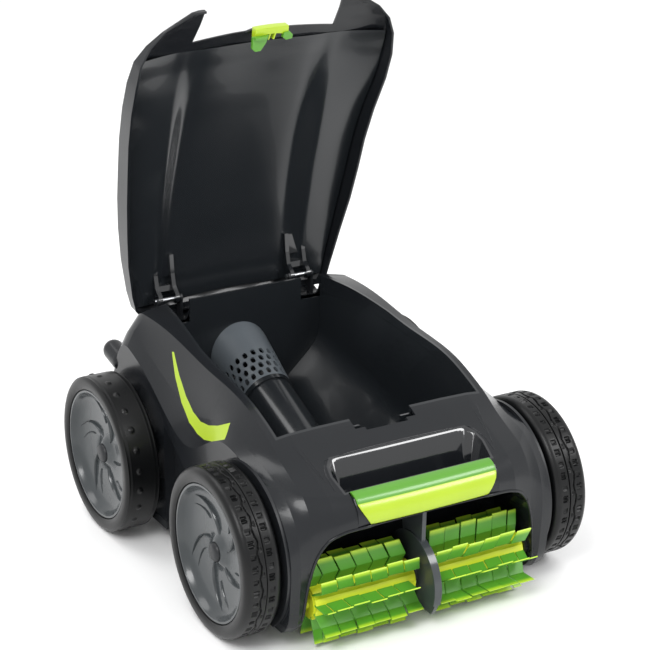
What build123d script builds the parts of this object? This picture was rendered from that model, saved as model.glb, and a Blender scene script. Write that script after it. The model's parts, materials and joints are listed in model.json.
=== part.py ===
from build123d import *

import math
import os

# Four-wheeled robotic pool cleaner with a hinged lid, shown with the lid open and the filter canister taken out.
#
# Millimetres. +Z up, the brush faces -Y, +X is to the right when the front is seen. Everything is designed with
# y = 0 half way between the axles, and export() shifts it so that the origin is the floor point under the centre
# of the bounding box. The lid is designed shut and is turned to its open rest pose.

os.makedirs("parts", exist_ok=True)

# ---- driving dimensions -------------------------------------------------------------------------------------
Y_SHIFT = 14.5  # moves the design frame to the centre of the bounding box
WHEEL_R = 94.0  # tyre radius
TYRE_W = 43.0
RIM_R = 77.0  # where the tyre sits on the rim
TRACK = 430.0  # over the outer faces of the tyres
WHEELBASE = 290.0
AXLE_Z = WHEEL_R
CHEEK_X = 163.0  # half width of the hull at the wheels
SKIRT_X = 151.0  # half width of the hull below the side skirts
WALL = 3.0
FLOOR_Z = 20.0  # ground clearance
HULL_JOINT_Z = 30.0  # seam between the hull and the base tray
HOOD_Y, REAR_COVER_Y = -150.0, 174.0  # seams between the hood, the side panels and the rear cover
BRUSH_Y, BRUSH_Z, BRUSH_R = -217.0, 48.5, 47.0
BRUSH_IN, BRUSH_OUT = 7.0, 133.0  # brush half from the centre bearing to its outer end
HINGE_X, HINGE_Y, HINGE_Z = 89.0, 199.0, 247.0
LID_OPEN = 80.0  # degrees from shut to open
DUCT_TILT = 21.5  # rise of the pump duct towards the back, degrees
DUCT_X, DUCT_Y, DUCT_Z = -10.0, 170.0, 173.0  # where the duct's axis meets the tub's back wall
GUARD_R, GUARD_WALL_R, DUCT_R = 32.0, 38.5, 29.5  # guard at the pump end and at the wall, pump housing
GUARD_L, DUCT_L = 76.0, 178.0
INLET_Y = -12.0
SKIRT_CLEAR = 1.0  # free height under the edge of the shut lid's skirt
GAP = 0.3  # clearance between neighbouring pieces on different bodies
FIT = 0.05  # radial running clearance

WHEEL_X = TRACK / 2 - TYRE_W / 2
FRONT_Y, REAR_Y = -WHEELBASE / 2, WHEELBASE / 2
WHEELS = {"front_left": (-1, FRONT_Y), "front_right": (1, FRONT_Y), "rear_left": (-1, REAR_Y),
          "rear_right": (1, REAR_Y)}
SIDES = {"left": -1, "right": 1}

# Drive in each cheek: the motor's pinion turns the wheel gear, and belts drive the brush and the rear wheel.
GEAR_X, GEAR_W, MODULE = 156.4, 4.0, 2.4
WHEEL_TEETH, PINION_TEETH = 48, 12
PINION_ANGLE = -35.0
PINION_R = MODULE * (WHEEL_TEETH + PINION_TEETH) / 2
PINION_Y = FRONT_Y + PINION_R * math.cos(math.radians(PINION_ANGLE))
PINION_Z = AXLE_Z + PINION_R * math.sin(math.radians(PINION_ANGLE))
REAR_BELT_X, REAR_BELT_W, REAR_BELT_R = 141.0, 7.0, 13.0
BRUSH_BELT_X, BRUSH_BELT_W, BRUSH_BELT_R, BRUSH_PULLEY_R = 150.4, 4.0, 24.0, 8.0
BELT_T = 2.0

# Side outlines of the hull at growing |x|, each from the rear foot over the top to the front foot.
HULL_OUTLINES = [
    (78, [(196, 20), (209, 34), (217, 90), (216, 160), (206, 221), (189, 249), (166, 254), (82, 251), (0, 240),
          (-86, 230), (-120, 219), (-149, 208), (-178, 193), (-204, 181), (-225, 171), (-242, 162), (-249, 150),
          (-249, 136), (-242, 100), (-234, 60), (-228, 30), (-216, 20)]),
    (112, [(195, 20), (208, 34), (215, 90), (214, 160), (203, 219), (186, 247), (166, 252), (82, 250), (0, 240),
           (-86, 230), (-120, 219), (-149, 207), (-176, 193), (-202, 181), (-225, 170), (-236, 160), (-243, 146),
           (-245, 132), (-240, 98), (-233, 60), (-227, 30), (-214, 20)]),
    (136, [(194, 20), (206, 34), (212, 90), (210, 160), (198, 213), (182, 242), (162, 248), (82, 247), (0, 237),
           (-86, 228), (-120, 217), (-149, 204), (-168, 193), (-190, 183), (-215, 172), (-227, 160), (-235, 145),
           (-239, 128), (-238, 96), (-232, 60), (-224, 30), (-210, 20)]),
    (152, [(190, 20), (202, 34), (208, 90), (206, 160), (194, 200), (180, 224), (160, 232), (82, 203), (0, 186),
           (-86, 204), (-118, 197), (-140, 191), (-162, 186), (-180, 181), (-198, 176), (-215, 163), (-229, 147),
           (-237, 126), (-240, 96), (-237, 62), (-232, 34), (-220, 20)]),
    (CHEEK_X, [(184, 20), (196, 34), (202, 90), (200, 160), (188, 190), (174, 210), (156, 216), (82, 184), (0, 150),
               (-86, 189), (-112, 188), (-132, 185), (-150, 183), (-166, 181), (-184, 178), (-207, 164), (-224, 146),
               (-236, 122), (-239, 94), (-236, 62), (-230, 34), (-216, 20)]),
]

# Inside of the filter tub: y, half width and height at the rim, at the shoulder of the hopper and at its bottom.
TUB_SECTIONS = [
    (168, 106, 300, 100, 171, 44, 120),
    (104, 118, 300, 106, 150, 44, 96),
    (44, 127, 300, 112, 132, 46, 82),
    (-60, 131, 300, 117, 112, 50, 76),
    (-142, 131, 300, 121, 104, 60, 74),
]

# Shut lid: y, half width, height of the crown, of its shoulder, of the skirt's free edge, of the liner's roof and
# of the liner's flange.
LID_SECTIONS = [
    (218, 122, 264, 257, 246, 256, 252), (208, 130, 270, 262, 247, 261, 257), (188, 135, 275, 266, 248, 266, 260),
    (145, 143, 280, 268, 246, 272, 261), (101, 149, 281, 267, 240, 273, 259), (61, 153, 279, 264, 236, 271, 256),
    (19, 156, 275, 259, 232, 266, 250), (-22, 160, 267, 251, 225, 258, 244), (-66, 164, 255, 238, 213, 246, 238),
    (-100, 164, 244, 229, 205, 237, 234), (-128, 161, 233, 220, 202, 228, 227), (-149, 152, 222, 210, 200, 214, 213),
    (-166, 136, 213, 204, 199, 209, 208), (-186, 104, 205, 200, 196, 201, 201),
]

# Front opening round the brush: half width and height, from its bottom corner to its crown.
MOUTH_ARCH = [(146, 10), (144.4, 27), (143.6, 46), (142, 62), (140, 77.5), (136.6, 95), (131, 111), (124, 121.5),
              (116, 130), (92, 136.5), (0, 137.5)]
MOUTH_BACK_Y = -164.0

# Lime swoosh on the hull's side, as (y, z).
SWOOSH = [(80, 232), (60, 209), (36, 188), (10, 174), (-14, 170), (-36, 172), (-60, 180), (-86, 192), (-80, 207),
          (-58, 196), (-36, 188), (-14, 184), (8, 187), (30, 197), (54, 214), (76, 233)]


# ---- helpers ------------------------------------------------------------------------------------------------
def poly_face(points):
    """A plane face through 3-D points."""
    return make_face(Polyline(*points, close=True))


def yz_prism(points, x0, x1):
    """A prism with a side outline (y, z), from x0 to x1."""
    return extrude(poly_face([(x0, y, z) for y, z in points]), amount=x1 - x0, dir=(1, 0, 0))


def xz_prism(points, y0, y1):
    """A prism with a front outline (x, z), from y0 to y1."""
    return extrude(poly_face([(x, y0, z) for x, z in points]), amount=y1 - y0, dir=(0, 1, 0))


def block(x0, x1, y0, y1, z0, z1):
    return Pos((x0 + x1) / 2, (y0 + y1) / 2, (z0 + z1) / 2) * Box(x1 - x0, y1 - y0, z1 - z0)


def x_rod(x0, x1, y, z, r):
    """A cylinder along X."""
    return Pos((x0 + x1) / 2, y, z) * Rot(0, 90, 0) * Cylinder(r, abs(x1 - x0))


def x_tube(x0, x1, y, z, r_out, r_in):
    return x_rod(x0, x1, y, z, r_out) - x_rod(min(x0, x1) - 1, max(x0, x1) + 1, y, z, r_in)


def inset(points, d):
    """The outline moved inwards by d, with as many points."""
    n, out = len(points), []
    area = sum(points[i][0] * points[(i + 1) % n][1] - points[(i + 1) % n][0] * points[i][1] for i in range(n))
    turn = 1 if area > 0 else -1
    for i in range(n):
        (ax, ay), (bx, by), (cx, cy) = points[i - 1], points[i], points[(i + 1) % n]
        u, v = math.atan2(by - ay, bx - ax), math.atan2(cy - by, cx - bx)
        mid, half = (u + v) / 2, (v - u) / 2
        if abs(half) > math.pi / 2:
            mid, half = mid + math.pi, half - math.copysign(math.pi, half)
        reach = turn * d / max(math.cos(half), 0.4)
        out.append((bx - reach * math.sin(mid), by + reach * math.cos(mid)))
    return out


def outline_face(x, points):
    """A side outline at x: rounded at the back, over the top and down the nose, with a straight underside."""
    at = [(x, y, z) for y, z in points]
    edges = [Spline(*at[:7]), Spline(*at[6:15]), Spline(*at[14:]), Line(at[-1], at[0])]
    return make_face(edges)


def hull_solid(shrink=0.0):
    """The closed outer form of the hull, or its inside for shrink > 0."""
    sections = []
    for x, outline in HULL_OUTLINES:
        at = x - shrink if x == CHEEK_X else x
        sections.append((at, inset(outline, shrink) if shrink else outline))
    faces = [outline_face(-x, o) for x, o in reversed(sections)] + [outline_face(x, o) for x, o in sections]
    return loft(faces, ruled=True)


def tub_solid(grow=0.0, y_grow=0.0):
    """The tub's inside, or its outside for grow > 0."""
    faces = []
    for i, (y, xr, zr, xs, zs, xb, zb) in enumerate(TUB_SECTIONS):
        end = y_grow if i == 0 else -y_grow if i == len(TUB_SECTIONS) - 1 else 0
        g = grow
        half = [(xb + 0.4 * g, zb - g), (xs + g, zs - 0.6 * g), (xr + g, zr)]
        outline = [(-x, z) for x, z in reversed(half)] + half
        faces.append(poly_face([(x, y + end, z) for x, z in outline]))
    return loft(faces, ruled=True)


def lid_solid(shrink=0.0):
    """The shut lid's outer form down to the skirt's edge, or the space under it for shrink > 0."""
    faces = []
    for i, (y, w, top, shoulder, edge, _, _) in enumerate(LID_SECTIONS):
        s = shrink
        y += -s if i == 0 else s if i == len(LID_SECTIONS) - 1 else 0
        low = edge - 60 if shrink else edge + SKIRT_CLEAR
        half = [(w - s, low), (w - s, shoulder - s), (0.9 * w - s, (top + 2 * shoulder) / 3 + 2 - s),
                (0.6 * w, top - 0.22 * (top - shoulder) - s), (0.25 * w, top - s)]
        outline = half + [(-x, z) for x, z in reversed(half)]
        faces.append(poly_face([(x, y, z) for x, z in outline]))
    return loft(faces, ruled=True)


def lid_liner_sheet():
    """The moulded panel inside the lid: a raised roof in the middle and a flange out to the skirt."""
    faces = []
    for y, w, _, shoulder, _, roof, flange in LID_SECTIONS[1:-3]:
        half = [(w - 5, shoulder - 6.5), (102, flange), (76, roof)]
        under = half + [(-x, z) for x, z in reversed(half)]
        over = [(x, z + 2.2) for x, z in reversed(under)]
        faces.append(poly_face([(x, y, z) for x, z in under + over]))
    return loft(faces, ruled=True)


def duct_frame(along=0.0):
    """Placement with +Z along the duct's axis towards the back, from where it meets the tub's back wall."""
    return Pos(DUCT_X, DUCT_Y, DUCT_Z) * Rot(-(90 - DUCT_TILT), 0, 0) * Pos(0, 0, along)


def opened(shape):
    """The shut lid's pieces turned to the open rest pose."""
    return Pos(0, HINGE_Y, HINGE_Z) * Rot(-LID_OPEN, 0, 0) * Pos(0, -HINGE_Y, -HINGE_Z) * shape


def gear(teeth, width, bore, phase=0.0):
    """A spur gear along X with straight-flanked teeth and some backlash; phase is in degrees."""
    outer, root = MODULE * (teeth / 2 + 0.85), MODULE * (teeth / 2 - 1.15)
    step = 2 * math.pi / teeth
    points = []
    for i in range(teeth):
        a = i * step + math.radians(phase)
        for r, share in ((root, -0.30), (outer, -0.11), (outer, 0.11), (root, 0.30)):
            points.append((r * math.cos(a + share * step), r * math.sin(a + share * step)))
    blank = extrude(make_face(Polyline(*[(0, y, z) for y, z in points], close=True)), amount=width / 2, both=True,
                    dir=(1, 0, 0))
    return blank - x_rod(-width, width, 0, 0, bore)


def export(name, *shapes):
    solids = [Pos(0, Y_SHIFT, 0) * solid for shape in shapes for solid in shape.solids()]
    export_step(solids[0] if len(solids) == 1 else Compound(children=solids), f"parts/{name}.step")


# ---- hull ---------------------------------------------------------------------------------------------------
hull, hull_inside = hull_solid(), hull_solid(WALL)
tub_inside, tub_outside = tub_solid(), tub_solid(WALL, WALL)
arch = MOUTH_ARCH + [(-x, z) for x, z in reversed(MOUTH_ARCH[:-1])]
mouth = xz_prism(arch, -270, MOUTH_BACK_Y)
mouth_outside = xz_prism(inset(arch, -WALL), -270, MOUTH_BACK_Y + WALL)
pocket_top = [(-86, -181), (-94, -189), (-99, -202), (-99, -227), (99, -227), (99, -202), (94, -189), (86, -181)]
pocket_foot = [(-76, -196), (-82, -200), (-84, -208), (-84, -225), (84, -225), (84, -208), (82, -200), (76, -196)]


def pocket_solid(grow):
    faces = [poly_face([(x, y, z) for x, y in inset(plan, -grow)]) for z, plan in
             ((147 - grow, pocket_foot), (200, pocket_top))]
    return loft(faces, ruled=True)


pocket_inside, pocket_outside = pocket_solid(0), pocket_solid(2.5)
bar_profile = [(-227, 148), (-227, 171.5), (-234, 170.5), (-243, 163), (-247, 154), (-238, 146)]
trim_profile = [(-238, 146), (-247, 154), (-243, 163), (-249.5, 156), (-251, 146), (-250, 139), (-240, 138.2)]
bar_cut = [(-227, 138), (-227, 180), (-262, 180), (-262, 138)]
handle_cut = yz_prism(bar_cut, -88, 88)
hinge_trough = x_rod(-126, 126, HINGE_Y, HINGE_Z, 26.5)
arm_slots = Compound(children=[block(s * HINGE_X - 14, s * HINGE_X + 14, 160, 202, 226, 262) for s in (-1, 1)])
latch_notch = block(-38, 38, -156, -134, 202, 250) + block(-26, 26, -160, -128, 183, 250)
skirt_recess = [(-44, 5), (-44, 104), (4, 114), (41, 140), (62, 152), (62, 5)]
swoosh_skin = hull - hull_solid(1.4)
side_inlays, skirt_cuts, axle_holes = {}, [], []
for side, s in SIDES.items():
    side_inlays[side] = yz_prism(SWOOSH, s * 120, s * 164) & swoosh_skin
    skirt_cuts.append(yz_prism(skirt_recess, s * SKIRT_X, s * 170))
    for y in (FRONT_Y, REAR_Y):
        axle_holes.append(x_rod(s * 145, s * 170, y, AXLE_Z, 20))

OUTLET_X, OUTLET_Z = DUCT_X, DUCT_Z + 15.0
outlet_hole = Pos(OUTLET_X, 205, OUTLET_Z) * Rot(-90, 0, 0) * Cylinder(34, 60)
socket_y, socket_z, socket_x = 205.0, 190.0, 72.0
socket_hole = Pos(socket_x, socket_y, socket_z) * Rot(90, 0, 0) * Cylinder(13, 60)
chute = block(-64, 64, INLET_Y - 46, INLET_Y + 5.2, 10, 91)

fenders = None
for s in (-1, 1):
    fender = Pos(s * 153, 205, 186) * Rot(-78, 0, s * 4) * Cylinder(13, 24)
    for end in (-1, 1):
        fender += Pos(s * 153, 205, 186) * Rot(-78, 0, s * 4) * Pos(0, 0, 12 * end) * Sphere(13)
    fenders = fender if fenders is None else fenders + fender
skin = hull + fenders - hull_inside - mouth - handle_cut
for cut in (hinge_trough, arm_slots, *skirt_cuts, *axle_holes):
    skin -= cut
above = block(-200, 200, -300, 300, HULL_JOINT_Z, 330)
below = block(-200, 200, -300, 300, 0, HULL_JOINT_Z)
skirts = None
for s in (-1, 1):
    box = yz_prism(inset(skirt_recess, -WALL), s * (SKIRT_X - WALL), s * CHEEK_X)
    box = (box - yz_prism(skirt_recess, s * SKIRT_X, s * 170)) & hull
    skirts = box if skirts is None else skirts + box
mouth_walls = (mouth_outside - mouth - handle_cut) & hull
body = skin + skirts - latch_notch
trough_back = block(-118, 118, HINGE_Y, 226, 214, 232)
trough_wall = (x_rod(-128.5, 128.5, HINGE_Y, HINGE_Z, 29) - hinge_trough - arm_slots) & (hull + trough_back)
upper = (body + trough_wall) & above
upper -= tub_outside
upper -= pocket_outside
for inlay in side_inlays.values():
    upper -= inlay
upper += mouth_walls & above
upper = upper - outlet_hole - socket_hole - x_rod(-149, 149, BRUSH_Y, BRUSH_Z, 10)
upper = max(upper.solids(), key=lambda solid: solid.volume)
zones = {"front_hood": block(-250, 250, -300, HOOD_Y, 0, 350),
         "rear_cover": block(-250, 250, REAR_COVER_Y, 300, 0, 350),
         "left_side_panel": block(-250, 0, HOOD_Y, REAR_COVER_Y, 0, 350),
         "right_side_panel": block(0, 250, HOOD_Y, REAR_COVER_Y, 0, 350)}
for zone, region in zones.items():
    export(zone, max((upper & region).solids(), key=lambda solid: solid.volume))

tray = (body + mouth_walls) & below
tray -= chute
tray = max(tray.solids(), key=lambda solid: solid.volume)
for x, y in ((-110, 150), (110, 150), (-110, 20), (110, 20)):
    tray += Pos(x, y, 34) * Cylinder(6, 24)
tray = tray - Compound(children=[Pos(x, y, 30) * Cylinder(2.15, 60) for x in (-110, 110) for y in (20, 150)])
export("lower_chassis", tray)
screws = [Pos(x, y, 18.5) * Cylinder(4.5, 3) + Pos(x, y, 31) * Cylinder(2.1, 26)
          for x in (-110, 110) for y in (20, 150)]

tub = (tub_outside - tub_inside) & hull
tub = tub - arm_slots - hinge_trough - chute - latch_notch - duct_frame() * Cylinder(GUARD_WALL_R + 0.2, 70)
tub = max(tub.solids(), key=lambda solid: solid.volume)
export("filter_tub", tub)

pocket = (pocket_outside - pocket_inside) & hull
pocket -= handle_cut
export("handle_pocket", max(pocket.solids(), key=lambda solid: solid.volume))
export("handle_bar", yz_prism(bar_profile, -86.5, 86.5))
export("handle_trim", yz_prism(trim_profile, -86.5, 86.5))
for side, inlay in side_inlays.items():
    export(f"{side}_side_inlay", max(inlay.solids(), key=lambda solid: solid.volume))
export("chassis_screws", *screws)

# ---- underside inlet ----------------------------------------------------------------------------------------
inlet_frame = block(-63.8, 63.8, -45.8, 3.8, 18, 84) - block(-60, 60, -42, 0, 0, 100)
inlet_frame += block(-70, 70, -52, 10, 18, 20) - block(-60, 60, -42, 0, 0, 100)
inlet_frame += x_rod(-63, 63, 2, 87.4, 2.9) + block(-63, 63, 0.4, 3.6, 82, 88)
flap_slots = Compound(children=[block(s * 40 - 8, s * 40 + 8, -3, 8, 83, 92) for s in (-1, 1)])
inlet_frame = inlet_frame - flap_slots + x_rod(-60, 60, 2, 87.4, 1.6)
export("inlet_frame", Pos(0, INLET_Y, 0) * inlet_frame)
flap = block(-61, 61, -45, -1.6, 84.8, 86.8)
for s in (-1, 1):
    flap += x_rod(s * 33, s * 47, 2, 87.4, 2.9) + block(min(s * 33, s * 47), max(s * 33, s * 47), -2, 1, 84.8, 88.6)
    flap -= x_rod(s * 32, s * 48, 2, 87.4, 1.6 + FIT)
export("inlet_flap", Pos(0, INLET_Y, 0) * flap)

# ---- pump ---------------------------------------------------------------------------------------------------
guard = Cone(GUARD_R, GUARD_WALL_R, GUARD_L) - Cone(GUARD_R - 2.4, GUARD_WALL_R - 2.4, GUARD_L)
collar = Cylinder(GUARD_WALL_R, 22) - Cylinder(GUARD_WALL_R - 2.4, 22)
guard = Pos(0, 0, -GUARD_L / 2) * guard + Pos(0, 0, 11) * collar
slots = []
for row, at in enumerate((-69.0, -58.5, -48.0, -37.5)):
    slot = Pos(GUARD_R + 3, 0, at) * Rot(0, 90, 0) * extrude(SlotOverall(8.4, 5.6), amount=9, both=True)
    slots += [Rot(0, 0, 18 * i + 9 * (row % 2)) * slot for i in range(20)]
guard -= slots
for angle in (0, 120, 240):
    guard += Rot(0, 0, angle) * Pos(20, 0, -12) * Box(31, 3, 8)
guard += Pos(0, 0, -12) * Cylinder(7, 8)
guard -= Pos(0, 0, -12) * Cylinder(2.5 + FIT, 12)
guard = duct_frame() * guard & block(-60, 60, 60, DUCT_Y, 90, 240)
export("propeller_guard", max(guard.solids(), key=lambda solid: solid.volume))

housing = Pos(0, 0, -(GUARD_L + DUCT_L) / 2) * Cylinder(DUCT_R, DUCT_L - GUARD_L)
housing += Pos(0, 0, -GUARD_L - 3) * Cylinder(GUARD_R, 6)
housing -= Pos(0, 0, -(GUARD_L + DUCT_L) / 2) * Cylinder(24, DUCT_L - GUARD_L - 8)
housing -= Pos(0, 0, -GUARD_L) * Cylinder(6, 20)
housing = duct_frame() * housing
pedestal = block(DUCT_X - 22, DUCT_X + 22, 30, 90, 60, 125) & tub_inside
pedestal = pedestal - duct_frame(-120) * Cylinder(DUCT_R - 1, 160)
housing += pedestal
housing = max((housing & tub_inside).solids(), key=lambda solid: solid.volume)
export("pump_housing", housing)
motor = Cylinder(23.9, DUCT_L - GUARD_L - 8.4) - Pos(0, 0, 35) * Cylinder(2.5 + FIT, 60)
export("pump_motor", duct_frame(-(GUARD_L + DUCT_L) / 2) * motor)

blades = Pos(0, 0, -40) * Cylinder(8, 16)
for i in range(4):
    vane = Pos(17, 0, 0) * Rot(38, 0, 0) * Box(20, 2.0, 17)
    blades += Rot(0, 0, 90 * i) * Pos(0, 0, -40) * vane
blades = blades & Pos(0, 0, -40) * Cylinder(GUARD_R - 3.3, 30)
blades -= Pos(0, 0, -40) * Cylinder(2.5, 40)
export("propeller", duct_frame() * blades)
export("propeller_shaft", duct_frame(-48) * Cylinder(2.5, 78))

grille = Cylinder(40, 3) - Cylinder(31, 4)
slats = Box(2.4, 66, 3) + Box(66, 2.4, 3)
for i in range(-3, 4):
    slats += Pos(0, 9 * i, -3) * Rot(-38, 0, 0) * Box(66, 12.5, 1.8)
grille += slats & Cylinder(32, 24)
grille += Pos(0, 0, -8) * (Cylinder(33.8, 18) - Cylinder(31, 20))
grille = Pos(OUTLET_X, 219.5, OUTLET_Z) * Rot(-90, 0, 0) * grille - hull
export("outlet_grille", grille - x_rod(-128.8, 128.8, HINGE_Y, HINGE_Z, 29.3))

# ---- wheels and drive ---------------------------------------------------------------------------------------
def belt(s, at, width, y0, z0, r0, y1, z1, r1):
    """A flat belt round two pulleys, running clear of them."""
    tilt = math.atan2(z1 - z0, y1 - y0)
    beta = math.acos((r0 - r1) / math.hypot(y1 - y0, z1 - z0))
    pieces = []
    for grow, w in ((0.1 + BELT_T, width / 2 - 0.2), (0.1, width)):
        x0, x1 = s * at - w, s * at + w
        ring = x_rod(x0, x1, y0, z0, r0 + grow) + x_rod(x0, x1, y1, z1, r1 + grow)
        corners = [(y0, z0, r0 + grow, tilt + beta), (y1, z1, r1 + grow, tilt + beta),
                   (y1, z1, r1 + grow, tilt - beta), (y0, z0, r0 + grow, tilt - beta)]
        pieces.append(ring + yz_prism([(y + r * math.cos(a), z + r * math.sin(a)) for y, z, r, a in corners], x0, x1))
    return pieces[0] - pieces[1]


for name, (s, y) in WHEELS.items():
    outer, inner = s * TRACK / 2, s * (TRACK / 2 - TYRE_W)
    mid = (outer + inner) / 2
    tyre = x_rod(inner, outer, y, AXLE_Z, WHEEL_R)
    tyre = fillet(tyre.edges(), 11) - x_rod(inner - s, outer + s, y, AXLE_Z, RIM_R)
    if y < 0:
        for i in range(26):
            a = 360 * i / 26
            cut = Pos(mid - s * 4, 0, WHEEL_R - 1.2) * Rot(0, 0, 24 if i % 2 else -24) * Box(26, 3.4, 5)
            tyre -= Pos(0, y, AXLE_Z) * Rot(a, 0, 0) * cut
        groove = x_tube(mid + s * 9.5, mid + s * 12.5, y, AXLE_Z, WHEEL_R + 1, WHEEL_R - 2.6)
        tyre -= groove
    export(f"{name}_tyre", tyre)
    rim = x_tube(inner + s * 3, outer - s * 5, y, AXLE_Z, RIM_R, RIM_R - 6)
    web = x_rod(outer - s * 19, outer - s * 15, y, AXLE_Z, RIM_R - 5)
    rim += web + x_rod(inner + s * 4, outer - s * 12, y, AXLE_Z, 15)
    for i in range(9):
        spoke = Pos(outer - s * 13, 10, 43) * Rot(14, 0, 0) * Box(6, 2.6, 54)
        rim += Pos(0, y, AXLE_Z) * Rot(40 * i, 0, 0) * spoke
    rim = (rim & x_rod(inner, outer, y, AXLE_Z, RIM_R)) - x_rod(inner, outer, y, AXLE_Z, 8)
    export(f"{name}_rim", max(rim.solids(), key=lambda solid: solid.volume))
    cap = x_rod(outer - s * 12, outer - s * 7, y, AXLE_Z, 17)
    face_rim = cap.edges().filter_by(lambda e: abs(abs(e.center().X) - abs(outer - s * 7)) < 0.1)
    export(f"{name}_hub_cap", fillet(face_rim, 3))
    axle = x_rod(s * 136, outer - s * 12, y, AXLE_Z, 8)
    axle += x_rod(s * (REAR_BELT_X - REAR_BELT_W / 2), s * (REAR_BELT_X + REAR_BELT_W / 2), y, AXLE_Z, REAR_BELT_R)
    if y < 0:
        axle += Pos(s * GEAR_X, y, AXLE_Z) * gear(WHEEL_TEETH, GEAR_W, 6, PINION_ANGLE)
        axle += x_rod(s * (BRUSH_BELT_X - BRUSH_BELT_W / 2), s * (BRUSH_BELT_X + BRUSH_BELT_W / 2), y, AXLE_Z,
                      BRUSH_BELT_R)
    export(f"{name}_axle", axle)

for side, s in SIDES.items():
    flanges = []
    for y, r in ((FRONT_Y, 93), (REAR_Y, 60)):
        flange = x_rod(s * CHEEK_X, s * (CHEEK_X + 3.4), y, AXLE_Z, r) + x_rod(s * 158.6, s * 168, y, AXLE_Z, 19.6)
        flange -= x_rod(s * 150, s * 175, y, AXLE_Z, 8 + FIT)
        flanges.append(flange & block(-200, 200, -300, 300, FLOOR_Z + 2, 300))
    export(f"{side}_axle_flanges", *flanges)
    pinion = Pos(s * GEAR_X, PINION_Y, PINION_Z) * gear(
        PINION_TEETH, GEAR_W, 2, PINION_ANGLE + 180 + 180 / PINION_TEETH)
    pinion += x_rod(s * 139.5, s * 158, PINION_Y, PINION_Z, 3)
    export(f"{side}_motor_pinion", pinion)
    motor = x_rod(s * 84, s * 147, PINION_Y, PINION_Z, 16) - x_rod(s * 138, s * 150, PINION_Y, PINION_Z, 3 + FIT)
    foot = block(min(s * 92, s * 140), max(s * 92, s * 140), PINION_Y - 8, PINION_Y + 8, 23, 40)
    motor += foot - x_rod(s * 80, s * 150, PINION_Y, PINION_Z, 15.5)
    export(f"{side}_drive_motor", motor)
    export(f"{side}_rear_belt", belt(s, REAR_BELT_X, REAR_BELT_W, FRONT_Y, AXLE_Z, REAR_BELT_R, REAR_Y, AXLE_Z,
                                     REAR_BELT_R))
    export(f"{side}_brush_belt", belt(s, BRUSH_BELT_X, BRUSH_BELT_W, FRONT_Y, AXLE_Z, BRUSH_BELT_R, BRUSH_Y, BRUSH_Z,
                                      BRUSH_PULLEY_R))

# ---- brush --------------------------------------------------------------------------------------------------
bushes = []
for side, s in SIDES.items():
    core = x_rod(s * BRUSH_IN, s * BRUSH_OUT, BRUSH_Y, BRUSH_Z, 16) + x_rod(s * 0.6, s * BRUSH_IN, BRUSH_Y, BRUSH_Z, 5)
    core += x_rod(s * BRUSH_OUT, s * 154, BRUSH_Y, BRUSH_Z, 6)
    core += x_rod(s * (BRUSH_BELT_X - BRUSH_BELT_W / 2), s * (BRUSH_BELT_X + BRUSH_BELT_W / 2), BRUSH_Y, BRUSH_Z,
                  BRUSH_PULLEY_R)
    export(f"{side}_brush_core", core)
    sleeve = x_tube(s * (BRUSH_IN + 1), s * (BRUSH_OUT - 1), BRUSH_Y, BRUSH_Z, 19, 16)
    for row in range(9):
        for i in range(6):
            x = BRUSH_IN + 12.5 + 19.6 * i + (8.5 if row % 2 else 0)
            flap_piece = Pos(s * x, 0, (BRUSH_R + 17) / 2) * Box(17.5, 3.2, BRUSH_R - 17)
            sleeve += Pos(0, BRUSH_Y, BRUSH_Z) * Rot(40 * row + (3 if i % 2 else -3), 0, 0) * flap_piece
    export(f"{side}_brush_blades", sleeve & x_rod(s * BRUSH_IN, s * (BRUSH_OUT - 0.5), BRUSH_Y, BRUSH_Z, BRUSH_R))
    bush = x_tube(s * 139.5, s * 147.5, BRUSH_Y, BRUSH_Z, 10, 6 + FIT)
    bushes.append(bush)
export("brush_bushes", *bushes)

web = x_rod(-2.4, 2.4, BRUSH_Y, BRUSH_Z, BRUSH_R + 3.6) & block(-5, 5, -300, MOUTH_BACK_Y - 0.2, FLOOR_Z - 2, 200)
web += x_rod(-3.4, 3.4, BRUSH_Y, BRUSH_Z, 12)
web += yz_prism([(-236, 90), (-218, 90), (-200, 84), (-190, 137), (-238, 137)], -2.4, 2.4)
strap = x_tube(-4.5, 4.5, BRUSH_Y, BRUSH_Z, BRUSH_R + 4, BRUSH_R + 1.2)
strap &= yz_prism([(BRUSH_Y, BRUSH_Z), (-300, 18), (-300, 150), (-190, 150)], -10, 10)
web = web + strap - x_rod(-5, 5, BRUSH_Y, BRUSH_Z, 5 + FIT)
export("centre_brush_guard", max(web.solids(), key=lambda solid: solid.volume))

# ---- rear deck ----------------------------------------------------------------------------------------------
brackets, pins, arms = [], [], {}
for side, s in SIDES.items():
    at = s * HINGE_X
    for dx in (-16.8, 14.2):
        lug = block(at + dx, at + dx + 2.6, 193, 205, 221.6, 250) + x_rod(at + dx, at + dx + 2.6, HINGE_Y, HINGE_Z, 7)
        brackets.append(lug - x_rod(at - 30, at + 30, HINGE_Y, HINGE_Z, 3))
    pins.append(x_rod(at - 17.5, at + 17.5, HINGE_Y, HINGE_Z, 3))
    rails = [(205.5, 247), (203, 254), (192, 262), (176, 268), (152, 273), (150, 266), (172, 260), (186, 254), (192, 244),
             (199, 240.5)]
    arm = None
    for dx in (-13.6, 8.6):
        rail = yz_prism(rails, at + dx, at + dx + 5) + x_rod(at + dx, at + dx + 5, HINGE_Y, HINGE_Z, 6.5)
        arm = rail if arm is None else arm + rail
    arm += yz_prism([(176, 262), (176, 267), (152, 272), (152, 267)], at - 13.6, at + 13.6)
    arm += yz_prism([(192, 255), (192, 260), (186, 263), (186, 258)], at - 13.6, at + 13.6)
    arm -= x_rod(at - 30, at + 30, HINGE_Y, HINGE_Z, 3 + FIT)
    arms[side] = arm

export("hinge_brackets", *[lug & hull_solid(-6) for lug in brackets])
export("hinge_pins", *pins)

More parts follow.
